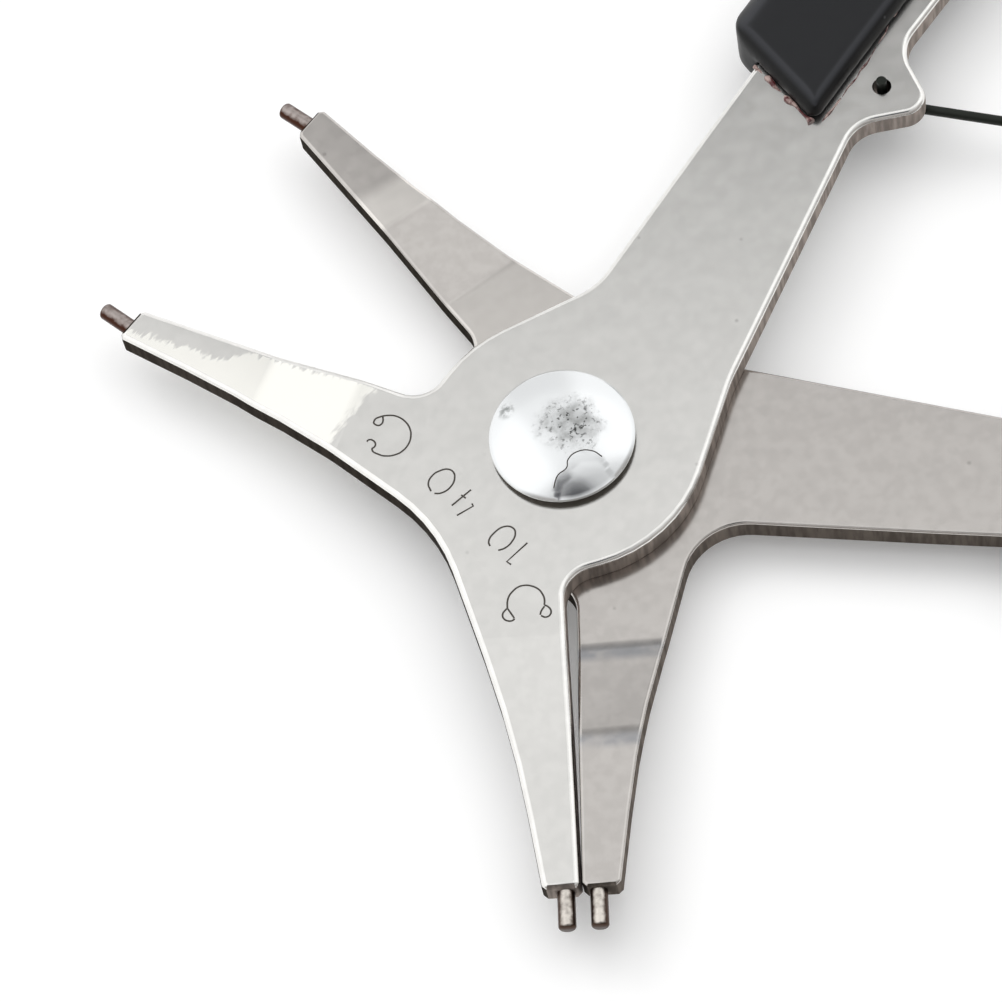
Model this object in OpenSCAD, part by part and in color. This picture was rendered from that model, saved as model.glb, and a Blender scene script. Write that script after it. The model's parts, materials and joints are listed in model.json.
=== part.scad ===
// Circlip pliers with four jaws: two pressed steel levers that cross on one rivet.
// Squeezing the handles closes the internal jaws and spreads the external jaws.
// Z is the pivot axis, the foot of the rivet stands on Z = 0, and +X halves the angle between the handles.

/* [Plates] */
// Thickness of each pressed plate
plate_t = 2.3; // [1.8:0.1:3]
// Radius of the hub round the pivot
hub_r = 12.35; // [11.5:0.05:13.5]
// Inside radius between a jaw's meeting edge and the hub
root_fillet = 2.8; // [1.5:0.1:4]
// Inside radius between the two jaws of the front plate
crotch_fillet = 16; // [8:0.5:20]
// Inside radius between the rear plate's external jaw and its handle
shoulder_fillet = 5.4; // [3:0.1:7]
// Inside radius between the rear plate's internal jaw and its handle
waist_fillet = 24; // [10:0.5:28]
// Inside radius between the front plate's hub and the back of its handle
nape_fillet = 6; // [3:0.5:10]
// Inside radius between the hub and the inner edge of a handle
neck_fillet = 16; // [6:0.5:24]

/* [Jaws] */
// Pivot to the end of a jaw, along its meeting edge
jaw_l = 40.5; // [36:0.5:46]
// Width of a jaw at its end
jaw_tip_w = 3.2; // [2.8:0.1:4.5]
// Width of a jaw where it leaves the hub
jaw_root_w = 9.4; // [8:0.1:10.5]
// Distance from the pivot at which the root width is measured
jaw_root_u = 13; // [11:0.5:15]
// Hollow of a jaw's back against a straight line
jaw_hollow = 0.5; // [0.3:0.05:1]
// Set-back of the meeting edge at the pivot, so that only the ends of a pair touch
jaw_relief = 0.6; // [0.2:0.05:1.2]
// Rounding of the corners of a jaw's end
jaw_corner_r = 0.4; // [0.2:0.05:0.8]
// Meeting line of the external jaws, turned back from the bisector
external_a = 113.2; // [108:0.1:118]
// Meeting edge of the rear internal jaw, turned from the bisector
internal_a = 101.2; // [97:0.1:106]
// Turn of the front lever from open to squeezed
squeeze_a = 31; // [24:0.5:34]
// Distance from the pivot of the first bend, which turns a jaw towards the middle plane
bend_u = 18.5; // [17:0.5:20]
// Distance to the second bend, which turns it level again
bend_l = 8.5; // [7:0.5:10]
// Radius of each bend
bend_r = 9; // [4:0.5:12]

/* [Tip pins] */
// Diameter of a tip pin
pin_d = 1.5; // [1:0.1:1.7]
// Length of a pin outside its jaw
pin_l = 3.2; // [2:0.1:5]
// Diameter of a pin's shank, which is pressed into the jaw
pin_shank_d = 1; // [0.7:0.1:1.1]
// Depth of the shank in the jaw
pin_depth = 3; // [2:0.1:3.5]
// Bevel round the end of a pin
pin_bevel = 0.15; // [0.05:0.05:0.3]
// External pin's centre line to the meeting edge
external_inset = 1.3; // [1:0.05:1.8]
// Internal pin's centre line to the meeting edge
internal_inset = 1.6; // [1.1:0.05:1.9]

/* [Handles] */
// Angle of an open handle from the bisector
handle_a = 31.3; // [29:0.1:34]
// Distance of a handle's back from the line through the pivot
handle_back = 5.9; // [5:0.1:7]
// Width of a handle beside the hub
neck_w = 14.9; // [13:0.1:16]
// Distance along the handle at which the neck's width is measured
neck_s = 14.4; // [13:0.1:16]
// Taper of a handle between the hub and the ear, in degrees
taper_a = 9; // [6:0.5:11]
// Width of a handle inside its grip
handle_w = 10.1; // [9:0.1:12]
// Distance along a handle at which it starts to bow inwards
bow_start = 32; // [28:0.5:34]
// Radius of the bow
bow_r = 500; // [250:10:800]
// Length of a handle from the pivot to its end, along its bowed middle
handle_l = 116; // [95:1:135]
// Rounding of the corners of a handle's end
handle_corner_r = 3; // [1:0.5:4]

/* [Spring ears] */
// Distance of the ear's hole along the handle
ear_s = 43.6; // [41:0.1:45]
// Distance of the ear's hole outside the handle's inner edge
ear_out = 0.7; // [0:0.1:1.4]
// Ear's hole to the flanks of the ear
ear_r = 3.25; // [2.8:0.05:4]
// Angle between the ear's axis and the square to each flank
ear_spread_a = 52; // [48:1:56]
// Rounding of the ear's nose
ear_nose_r = 2; // [1:0.1:2.5]
// Inside radius on both sides of the ear
ear_fillet = 3.4; // [2:0.1:4]
// Diameter of the ear's hole
ear_hole_d = 1.7; // [1.4:0.1:2.4]

/* [Grips] */
// Height of a grip above each face of its plate
grip_proud = 2.2; // [1.6:0.1:3.2]
// Width of the bare strip of handle beside a grip
grip_strip = 2.2; // [1:0.1:3]
// Wall of a grip outside the back of its handle
grip_wall = 4.2; // [3:0.1:6]
// Distance of the grip's mouth along the handle, at the back of the plate
grip_start = 39.9; // [38:0.1:42]
// Slant of the grip's mouth
grip_slant = 18.5; // [0:0.5:25]
// Wall of a grip past the end of its handle
grip_butt = 4; // [3:0.5:8]
// Rounding of a grip along the back of its handle
grip_back_r = 2.9; // [1.5:0.1:3.2]
// Rounding of a grip beside the bare strip
grip_front_r = 1.2; // [0.5:0.1:1.5]
// Rounding of the back corner of a grip's mouth, seen from above
grip_mouth_r = 4.6; // [1:0.1:5.5]
// Rounding of the upper and lower edges of a grip's mouth
grip_lip_r = 1.9; // [0.5:0.1:2.1]
// Rounding of the corners of a grip's butt, seen from above
grip_butt_r = 4.5; // [2:0.1:5.5]

/* [Rivet] */
// Diameter of the rivet's shank
rivet_d = 6; // [5:0.1:8]
// Diameter of the domed head
head_d = 12.6; // [10:0.1:15]
// Height of the domed head
head_h = 2.4; // [1.6:0.1:3]
// Height of the upright rim of the head
head_rim = 0.85; // [0.3:0.05:1.1]
// Diameter of the peened tail
tail_d = 10.4; // [9:0.1:12]
// Rounding of the peened tail
tail_r = 1.2; // [0.5:0.1:1.5]

/* [Return spring] */
// Diameter of the spring wire
wire_d = 0.9; // [0.6:0.05:1.1]
// Radius of the spring's coil, at the middle of the wire
coil_r = 3.5; // [2.5:0.1:5]
// Distance of the coil from the pivot
coil_x = 57; // [54:0.5:60]
// Bend radius of the hooks in the ears
hook_r = 0.8; // [0.6:0.05:1]
// Height of a hook's end above the face of its ear
hook_proud = 1; // [0:0.1:1.5]

/* [Fits] */
// Gap between the ends of a pair of jaws that has closed
tip_gap = 0.1; // [0.06:0.02:0.3]
// Radial clearance of the rivet in the front plate
pivot_fit = 0.05; // [0.02:0.01:0.1]
// Play between the plates, and under the rivet's head
plate_play = 0.05; // [0.02:0.01:0.15]
// Glue gap between a grip and its plate
grip_fit = 0.05; // [0.02:0.01:0.15]
// Gap between the spring wire and the plates that it lies on
wire_gap = 0.05; // [0.02:0.01:0.15]

/* [Hidden] */

$fn = 64;
// Largest turn between two points of a rounded outline
arc_step_a = 7.5;
// Spare height or width of a cutting shape
spare = 5;

plate_colour = [0.80, 0.80, 0.79];
rear_colour = [0.72, 0.71, 0.69];
rivet_colour = [0.86, 0.87, 0.88];
pin_colour = [0.52, 0.46, 0.42];
grip_colour = [0.14, 0.15, 0.16];
wire_colour = [0.12, 0.13, 0.12];

// Levels, from the foot of the rivet upwards
rear_z = grip_proud;
front_z = rear_z + plate_t + plate_play;
head_z = front_z + plate_t + plate_play;
// Drop of each plate's jaws, which brings the ends of all four to one level
jaw_drop = (front_z - rear_z) / 2;

// Offsets across a handle, from the line through the pivot
handle_in = handle_back - handle_w;
grip_in = handle_in + grip_strip;
grip_out = handle_back + grip_wall;

// A jaw is its meeting edge's direction, the side on which it lies, the skew of its end and its pin's inset.
front_internal = [internal_a + squeeze_a, 1, squeeze_a / 2, internal_inset];
front_external = [-external_a, -1, 0, external_inset];
rear_internal = [-internal_a, 1, squeeze_a / 2, internal_inset];
rear_external = [external_a, -1, 0, external_inset];

// Turn of the hub between a jaw's meeting edge and the free arc of the hub
root_spare_a = 2;
root_a = asin(root_fillet / (hub_r + root_fillet)) + root_spare_a;
// Direction in which the inner edge of a handle leaves the hub, a little steeper than its taper
neck_spare_a = 7;
neck_a = handle_a + taper_a + neck_spare_a;

// Point u along a direction and v to its left
function at(a, u, v) = [u * cos(a) - v * sin(a), u * sin(a) + v * cos(a)];
function xy(p) = [p.x, p.y];
function unit(p) = p / norm(p);
// Crossing of the line through p along direction a with the line through q along direction b
function meet(p, a, q, b) =
    let (d = at(a, 1, 0), e = at(b, 1, 0))
    p + d * (cross(q - p, e) / cross(d, e));
function corner(p, r) = [p.x, p.y, r];
function reversed(list) = [for (i = [len(list) - 1:-1:0]) list[i]];

// Points of the arc that rounds corner p, which carries its radius
function arc_points(before, p, after) =
    let (
        a = unit(xy(before) - xy(p)),
        b = unit(xy(after) - xy(p)),
        half = acos(a * b) / 2,
        centre = xy(p) + unit(a + b) * p.z / sin(half),
        start = xy(p) + a * p.z / tan(half) - centre,
        turn = (180 - 2 * half) * (cross(a, b) < 0 ? 1 : -1),
        steps = max(3, ceil(abs(turn) / arc_step_a))
    )
    [for (i = [0:steps]) centre + at(turn * i / steps, start.x, start.y)];

// Outline with every corner that has a radius rounded
function rounded(corners) =
    let (n = len(corners))
    [for (i = [0:n - 1])
        each corners[i].z > 0
            ? arc_points(corners[(i + n - 1) % n], corners[i], corners[(i + 1) % n])
            : [xy(corners[i])]];

// Jaws
function jaw_point(jaw, u, v) = at(jaw[0], u, jaw[1] * v);
function pin_direction(jaw) = jaw[0] - jaw[1] * jaw[2];
function end_point(jaw, v) = jaw_point(jaw, jaw_l + v * tan(jaw[2]), tip_gap / 2 + v);

jaw_chord = jaw_l - jaw_root_u;
// The back is two straight runs with an arc that takes up a share of them
back_arc_share = 0.55;
back_r = back_arc_share * jaw_chord * jaw_chord / (8 * jaw_hollow);
back_mid = [(jaw_l + jaw_root_u) / 2, (jaw_tip_w + jaw_root_w) / 2 - 2 * jaw_hollow];
back_slope = atan2(jaw_root_w - back_mid.y, jaw_root_u - back_mid.x);

// Corners of a jaw from its meeting edge round its end to its back
function jaw_corners(jaw) = [
    corner(end_point(jaw, 0), jaw_corner_r),
    corner(end_point(jaw, jaw_tip_w), jaw_corner_r),
    corner(jaw_point(jaw, back_mid.x, back_mid.y), back_r)
];
// A point and the direction of the straight run of a jaw's back at the hub
function back_root(jaw) = jaw_point(jaw, jaw_root_u, jaw_root_w);
function back_direction(jaw) = jaw[0] + jaw[1] * back_slope;

// Hub: its tangents meet the jaws and the neck
function hub_point(a) = at(a, hub_r, 0);
function root_direction(jaw) = jaw[0] - jaw[1] * root_a;
function root_corner(jaw) =
    let (
        pivot_side = jaw_point(jaw, 0, jaw_relief),
        run = end_point(jaw, 0) - pivot_side,
        tangent = root_direction(jaw)
    )
    corner(meet(pivot_side, atan2(run.y, run.x), hub_point(tangent), tangent + 90), root_fillet);
// Corner whose rounding is the arc of the hub between two of its tangents
function hub_corner(from, to) = corner(at((from + to) / 2, hub_r / cos((to - from) / 2), 0), hub_r);

// Handle: distance s along the line through the pivot, offset v across it, bowed past bow_start
function handle_point(s, v) =
    let (bow = max(0, s - bow_start) / bow_r * 180 / PI)
    at(handle_a,
       min(s, bow_start) + (bow_r + v) * sin(bow),
       v - (bow_r + v) * (1 - cos(bow)));
function handle_direction(s) = handle_a - max(0, s - bow_start) / bow_r * 180 / PI;
bow_steps = 10;
function bow_points(s_from, s_to, v) =
    [for (i = [0:bow_steps]) handle_point(s_from + (s_to - s_from) * i / bow_steps, v)];
function plain(points) = [for (p = points) corner(p, 0)];
function all_but_last(list) = [for (i = [0:len(list) - 2]) list[i]];

ear_hole = handle_point(ear_s, handle_in - ear_out);
ear_axis = handle_a + taper_a / 2 - 90;
neck_edge = handle_point(neck_s, handle_back - neck_w);
// Where the straight strip of handle goes on past the ear
strip_start = ear_s + 2 * ear_r + ear_fillet;
function flank_point(a) = ear_hole + at(a, ear_r, 0);

// Inner edge of the handle, its ear, its end and its back, ready to join the hub
handle_corners = let (
        low = ear_axis - ear_spread_a,
        high = ear_axis + ear_spread_a,
        strip = handle_point(ear_s, handle_in)
    )
    concat(
        [
            corner(meet(neck_edge, handle_a + taper_a, flank_point(low), low + 90), ear_fillet),
            corner(meet(flank_point(low), low + 90, flank_point(high), high + 90), ear_nose_r),
            corner(meet(flank_point(high), high + 90, strip, handle_direction(ear_s)), ear_fillet)
        ],
        plain(all_but_last(bow_points(strip_start, handle_l, handle_in))),
        [corner(handle_point(handle_l, handle_in), handle_corner_r)],
        [corner(handle_point(handle_l, handle_back), handle_corner_r)],
        plain(reversed(all_but_last(bow_points(bow_start, handle_l, handle_back))))
    );
neck_tangent = neck_a - 90;
neck_corner = corner(
    meet(hub_point(neck_tangent), neck_a, neck_edge, handle_a + taper_a), neck_fillet);

// Front plate: both jaws turn away from the handle
nape_corner = corner(meet(hub_point(90), 0, handle_point(0, handle_back), handle_a), nape_fillet);
crotch_corner = corner(
    meet(back_root(front_internal), back_direction(front_internal),
         back_root(front_external), back_direction(front_external)), crotch_fillet);
front_outline = rounded(concat(
    [root_corner(front_external), hub_corner(root_direction(front_external), neck_tangent), neck_corner],
    handle_corners,
    [nape_corner, hub_corner(90, root_direction(front_internal)), root_corner(front_internal)],
    jaw_corners(front_internal),
    [crotch_corner],
    reversed(jaw_corners(front_external))
));

// Rear plate: both jaws turn towards the handle
waist_corner = corner(
    meet(back_root(rear_internal), back_direction(rear_internal),
         neck_edge, handle_a + taper_a), waist_fillet);
shoulder_corner = corner(
    meet(back_root(rear_external), back_direction(rear_external),
         handle_point(0, handle_back), handle_a), shoulder_fillet);
rear_outline = rounded(concat(
    [waist_corner],
    handle_corners,
    [shoulder_corner],
    reversed(jaw_corners(rear_external)),
    [
        root_corner(rear_external),
        hub_corner(root_direction(rear_external), 360 + root_direction(rear_internal)),
        root_corner(rear_internal)
    ],
    jaw_corners(rear_internal)
));

// Side view of what lies past the bends of a jaw, from a face that falls by jaw_drop to a level.
// The face starts a little off the flat plate, so that it crosses the plate's own face cleanly.
bend_lean = plate_t * tan(atan2(jaw_drop, bend_l) / 2);
bend_lead = 2;
bend_lift = 0.02;
function bend_profile(u, face, level) = rounded([
    [u - bend_lead, face + bend_lift, 0],
    [u, face, bend_r],
    [u + bend_l, face - jaw_drop, bend_r],
    [jaw_l + spare, face - jaw_drop, 0],
    [jaw_l + spare, level, 0],
    [u - bend_lead, level, 0]
]);

// Extrusion of a side view across the width of a jaw
module across_jaw(jaw, profile) {
    rotate([90, 0, jaw[0]])
        translate([0, 0, jaw[1] < 0 ? -spare : -jaw_root_w - spare])
            linear_extrude(jaw_root_w + 2 * spare)
                polygon(profile);
}

// Places a shape that stands on Z = 0 on the end of a jaw, where its pin comes out
module on_jaw_end(jaw) {
    foot = end_point(jaw, jaw[3]);
    translate([foot.x, foot.y, plate_t / 2 - jaw_drop])
        rotate([0, 90, pin_direction(jaw)])
            children();
}

// Pressed plate on Z = 0 with its two jaws bent down, bored for the rivet, the spring and the pins
module pressed_plate(outline, jaws, bore_d) {
    difference() {
        union() {
            linear_extrude(plate_t)
                polygon(outline);
            for (jaw = jaws)
                intersection() {
                    translate([0, 0, -spare])
                        linear_extrude(2 * spare)
                            polygon(outline);
                    across_jaw(jaw, bend_profile(bend_u, 0, plate_t / 2));
                }
        }
        for (jaw = jaws)
            across_jaw(jaw, bend_profile(bend_u + bend_lean, plate_t, plate_t + spare));
        translate([0, 0, -spare])
            cylinder(d = bore_d, h = plate_t + 2 * spare);
        translate([ear_hole.x, ear_hole.y, -spare])
            cylinder(d = ear_hole_d, h = plate_t + 2 * spare);
        for (jaw = jaws)
            on_jaw_end(jaw)
                translate([0, 0, -pin_depth])
                    cylinder(d = pin_shank_d, h = pin_depth + spare);
    }
}

// Both levers are drawn handle up on Z = 0: the front one is lifted, and the rear one is turned over below it
module at_front() {
    translate([0, 0, front_z])
        children();
}

module at_rear() {
    translate([0, 0, rear_z + plate_t])
        rotate([180, 0, 0])
            children();
}

// Turned pin: its shank is in the jaw and its shoulder sits on the jaw's end
module tip_pin(jaw) {
    color(pin_colour)
        on_jaw_end(jaw)
            rotate_extrude()
                polygon([
                    [0, -pin_depth],
                    [pin_shank_d / 2, -pin_depth],
                    [pin_shank_d / 2, 0],
                    [pin_d / 2, 0],
                    [pin_d / 2, pin_l - pin_bevel],
                    [pin_d / 2 - pin_bevel, pin_l],
                    [0, pin_l]
                ]);
}

// Section of a grip across its handle, and of the slot that takes the plate
grip_half = plate_t / 2 + grip_proud;
grip_section = rounded([
    [grip_in, -grip_half, grip_front_r],
    [grip_out, -grip_half, grip_back_r],
    [grip_out, grip_half, grip_back_r],
    [grip_in, grip_half, grip_front_r]
]);
slot_half = plate_t / 2 + grip_fit;
slot_section = [
    [grip_in - spare, -slot_half],
    [handle_back + grip_fit, -slot_half],
    [handle_back + grip_fit, slot_half],
    [grip_in - spare, slot_half]
];

// Sweep of a section round the bow of a handle, up to a distance along it
module along_bow(section, s_to) {
    turn = handle_a - handle_direction(s_to);
    rotate(handle_a)
        translate([bow_start, -bow_r, 0])
            rotate(90 - turn)
                rotate_extrude(angle = turn, $fn = 720)
                    translate([bow_r, 0])
                        polygon(section);
}

// Grip seen from above: a slanted mouth and a rounded butt, with sides clear of the swept section
side_clear = 0.15;
function mouth_point(v, out = 0) = handle_point(grip_start - out + (v - handle_back) * tan(grip_slant), v);
grip_end = handle_l + grip_butt;
grip_outline = let (low = grip_in - side_clear, high = grip_out + side_clear)
    rounded(concat(
        [corner(mouth_point(low, side_clear), grip_front_r)],
        plain(all_but_last(bow_points(grip_start + spare, grip_end, low))),
        [corner(handle_point(grip_end, low), grip_butt_r), corner(handle_point(grip_end, high), grip_butt_r)],
        plain(reversed(all_but_last(bow_points(grip_start + 2 * spare, grip_end, high)))),
        [corner(mouth_point(high, side_clear), grip_mouth_r)]
    ));

// Block behind a grip's mouth, with the rounding of the mouth's upper and lower edges
mouth_low = mouth_point(grip_in);
mouth_line = mouth_point(grip_out) - mouth_low;
lip_half = grip_half + side_clear;
module mouth_block() {
    translate(mouth_low)
        rotate(atan2(mouth_line.y, mouth_line.x))
            translate([-grip_end, 0, 0])
                rotate([90, 0, 90])
                    linear_extrude(2 * grip_end)
                        polygon(rounded([
                            [-grip_end, -lip_half, 0],
                            [0, -lip_half, grip_lip_r],
                            [0, lip_half, grip_lip_r],
                            [-grip_end, lip_half, 0]
                        ]));
}

// Moulded channel over the back and both faces of a handle
module grip() {
    color(grip_colour)
        translate([0, 0, plate_t / 2])
            difference() {
                intersection() {
                    along_bow(grip_section, grip_end + spare);
                    translate([0, 0, -grip_half - spare])
                        linear_extrude(2 * (grip_half + spare))
                            polygon(grip_outline);
                    mouth_block();
                }
                along_bow(slot_section, handle_l + grip_fit);
            }
}

// Spring path: each stop is a point of the wire's centre line, its heading and its climb
wire_z = front_z - wire_gap - wire_d / 2;
spring_mid_z = (front_z + rear_z + plate_t) / 2;
coil_centre = [coil_x, 0];
to_coil = coil_centre - ear_hole;
leg_heading = atan2(to_coil.y, to_coil.x) + asin(coil_r / norm(to_coil));
// Half of the coil, with one full turn beyond the hairpin
half_coil = 180 + 90 + leg_heading;
coil_steps = 14;
// Level of the wire where it enters the coil, so that its turns lie clear of each other
coil_z = spring_mid_z - (wire_d + wire_gap) * half_coil / 360;
hook_steps = 4;
function stop(p, z, heading, climb) = [[p.x, p.y, z], heading, climb];
spring_half = concat(
    [stop(ear_hole, front_z + plate_t + hook_proud, leg_heading, -90)],
    [for (i = [0:hook_steps])
        let (a = 90 * i / hook_steps)
        stop(ear_hole + at(leg_heading, hook_r * (1 - cos(a)), 0),
             wire_z + hook_r * (1 - sin(a)), leg_heading, a - 90)],
    [for (i = [0:coil_steps])
        let (heading = leg_heading - half_coil * i / coil_steps)
        stop(coil_centre + at(heading, 0, coil_r),
             coil_z + (spring_mid_z - coil_z) * i / coil_steps, heading, 0)]
);
// The other half is the first one turned over about the bisector and run backwards
function turned_over(s) = [[s[0].x, -s[0].y, 2 * spring_mid_z - s[0].z], 180 - s[1], s[2]];
spring_path = concat(
    spring_half,
    [for (i = [len(spring_half) - 2:-1:0]) turned_over(spring_half[i])]
);
wire_sides = 10;

// Tube along a path of stops
module wire(path, d) {
    n = wire_sides;
    last = len(path) - 1;
    points = [for (s = path)
        let (
            side = [-sin(s[1]), cos(s[1]), 0],
            run = [cos(s[1]) * cos(s[2]), sin(s[1]) * cos(s[2]), sin(s[2])],
            up = cross(run, side)
        )
        for (j = [0:n - 1])
            s[0] + d / 2 * (cos(360 * j / n) * side + sin(360 * j / n) * up)];
    walls = [for (i = [0:last - 1])
        for (j = [0:n - 1])
            let (k = (j + 1) % n)
            each [
                [i * n + j, i * n + k, (i + 1) * n + k],
                [i * n + j, (i + 1) * n + k, (i + 1) * n + j]
            ]];
    ends = [
        [for (j = [n - 1:-1:0]) j],
        [for (j = [0:n - 1]) last * n + j]
    ];
    polyhedron(points, [for (face = concat(walls, ends)) reversed(face)]);
}

module front_plate() {
    color(plate_colour)
        at_front()
            pressed_plate(front_outline, [front_internal, front_external], rivet_d + 2 * pivot_fit);
}

module rear_plate() {
    color(rear_colour)
        at_rear()
            pressed_plate(rear_outline, [rear_internal, rear_external], rivet_d);
}

// Rivet with a low domed head on the front and a peened tail at the rear
module pivot_rivet() {
    dome_h = head_h - head_rim;
    dome_r = ((head_d / 2) ^ 2 + dome_h ^ 2) / (2 * dome_h);
    color(rivet_colour) {
        rotate_extrude()
            polygon(rounded([
                [0, 0, 0],
                [tail_d / 2, 0, tail_r],
                [tail_d / 2, rear_z, 0],
                [0, rear_z, 0]
            ]));
        cylinder(d = rivet_d, h = head_z + head_rim);
        intersection() {
            translate([0, 0, head_z])
                cylinder(d = head_d, h = head_h + spare);
            translate([0, 0, head_z + head_h - dome_r])
                sphere(r = dome_r, $fn = 180);
        }
    }
}

module front_internal_pin() {
    at_front()
        tip_pin(front_internal);
}

module front_external_pin() {
    at_front()
        tip_pin(front_external);
}

module rear_internal_pin() {
    at_rear()
        tip_pin(rear_internal);
}

module rear_external_pin() {
    at_rear()
        tip_pin(rear_external);
}

module front_grip() {
    at_front()
        grip();
}

module rear_grip() {
    at_rear()
        grip();
}

// Hairpin of spring wire with one coil, hooked into the ears of both plates
module return_spring() {
    color(wire_colour)
        wire(spring_path, wire_d);
}

front_plate();
rear_plate();
pivot_rivet();
front_internal_pin();
front_external_pin();
rear_internal_pin();
rear_external_pin();
front_grip();
rear_grip();
return_spring();
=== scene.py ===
"""Circlip pliers on a white table: pressed and plated levers, turned tip pins, moulded grips, wire spring."""

import json
import math

import bmesh
import bpy
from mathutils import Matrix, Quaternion, Vector, noise


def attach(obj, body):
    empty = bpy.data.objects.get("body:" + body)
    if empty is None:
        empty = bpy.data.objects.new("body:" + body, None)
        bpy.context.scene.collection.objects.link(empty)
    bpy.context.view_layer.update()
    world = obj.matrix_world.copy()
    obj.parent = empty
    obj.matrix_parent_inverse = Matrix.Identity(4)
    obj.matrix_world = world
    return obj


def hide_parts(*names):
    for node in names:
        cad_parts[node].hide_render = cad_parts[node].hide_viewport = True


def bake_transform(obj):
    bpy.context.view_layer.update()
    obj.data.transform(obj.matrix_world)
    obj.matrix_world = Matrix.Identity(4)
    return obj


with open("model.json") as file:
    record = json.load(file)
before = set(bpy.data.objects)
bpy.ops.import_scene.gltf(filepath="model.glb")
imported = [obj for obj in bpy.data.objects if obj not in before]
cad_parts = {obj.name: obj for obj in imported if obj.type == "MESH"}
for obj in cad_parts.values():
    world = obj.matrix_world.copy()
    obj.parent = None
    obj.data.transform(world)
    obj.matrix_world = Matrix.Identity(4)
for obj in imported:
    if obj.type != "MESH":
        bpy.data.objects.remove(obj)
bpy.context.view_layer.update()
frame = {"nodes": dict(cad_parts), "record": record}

MM = 0.001

# Levels of the stack, in millimetres above the table
REAR_PLATE = (2.2, 4.5)
FRONT_PLATE = (4.55, 6.85)
STACK_MIDDLE = 4.525

# Holes in the ears that hold the spring, in millimetres from the middle line, and the angle of a sharp edge
EAR = Vector((39.77, 18.29))
SHARP = math.radians(38)


def linear(code):
    """Linear colour of an sRGB hex code."""
    parts = [int(code[i : i + 2], 16) / 255 for i in (1, 3, 5)]
    return tuple(p / 12.92 if p <= 0.04045 else ((p + 0.055) / 1.055) ** 2.4 for p in parts) + (1.0,)


def add(tree, kind, inputs=(), **settings):
    """New node with its settings, and its inputs set, or linked to a socket or to another node's output."""
    made = tree.nodes.new(kind)
    for name, value in settings.items():
        setattr(made, name, value)
    pairs = inputs.items() if isinstance(inputs, dict) else enumerate(inputs)
    for key, value in pairs:
        if isinstance(value, bpy.types.Node):
            value = next(socket for socket in value.outputs if socket.enabled)
        if isinstance(value, bpy.types.NodeSocket):
            tree.links.new(value, made.inputs[key])
        else:
            made.inputs[key].default_value = value
    return made


# Kinds of node that most finishes use
NOISE = "ShaderNodeTexNoise"
RANGE = "ShaderNodeMapRange"
MATH = "ShaderNodeMath"
VECTOR = "ShaderNodeVectorMath"
MIX = "ShaderNodeMix"
BUMP = "ShaderNodeBump"
SPLIT = "ShaderNodeSeparateXYZ"
SURFACE = "ShaderNodeBsdfPrincipled"
OUTPUT = "ShaderNodeOutputMaterial"

# Settings of a range that starts and ends softly, and of a mix of colours
SOFT = {"interpolation_type": "SMOOTHSTEP"}
COLOURS = {"data_type": "RGBA"}

WHITE = (1.0, 1.0, 1.0, 1.0)


def per(size):
    """Texture scale whose features are about this many millimetres across."""
    return 1 / (size * MM)


def new_material(name):
    """Empty material and its tree, with the point's place on the object in metres and its normal."""
    made = bpy.data.materials.new(name)
    made.use_nodes = True
    tree = made.node_tree
    tree.nodes.clear()
    given = add(tree, "ShaderNodeTexCoord").outputs
    return made, tree, given["Object"], given["Normal"]


def specks(tree, place, spacing, share):
    """Small dots, 1 inside and 0 outside, in this share of a field of cells."""
    cells = add(tree, "ShaderNodeTexVoronoi", {"Vector": place, "Scale": per(spacing)}).outputs
    dot = add(tree, RANGE, [cells["Distance"], 0.08, 0.2, 1.0, 0.0], **SOFT)
    chance = add(tree, "ShaderNodeSeparateColor", [cells["Color"]])
    chosen = add(tree, RANGE, [chance, 1 - share, 1.02 - share], **SOFT)
    return add(tree, MATH, [dot, chosen], operation="MULTIPLY")


# Directions of the internal pins, of the rear plate's internal jaw and of its external jaw
INTERNAL_JAW = (-0.449, 0.8935, 0.0)
REAR_INTERNAL = (-0.122, 0.9925, 0.0)
EXTERNAL_JAW = (-0.393942, -0.919135, 0.0)

# Side of the plates whose sheared walls are painted lighter, as painted light
PAINTED_LIT_WALL_SIDE = (0.5, -0.866, 0.0)

# Zones of painted light on the rear internal jaw: start and end from the pivot and softness of the end, in
# millimetres, and how strongly each shows
PAINTED_LIGHT_ZONES = ((12.0, 18.3, 0.4, 0.45), (27.5, 31.2, 0.9, 0.9))
PAINTED_LIGHT_START = 0.4

# Bends of the rear external jaw, in millimetres from the pivot, along which bands of painted reflection lie
BEND_LINES = (19.2, 27.6)


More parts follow.
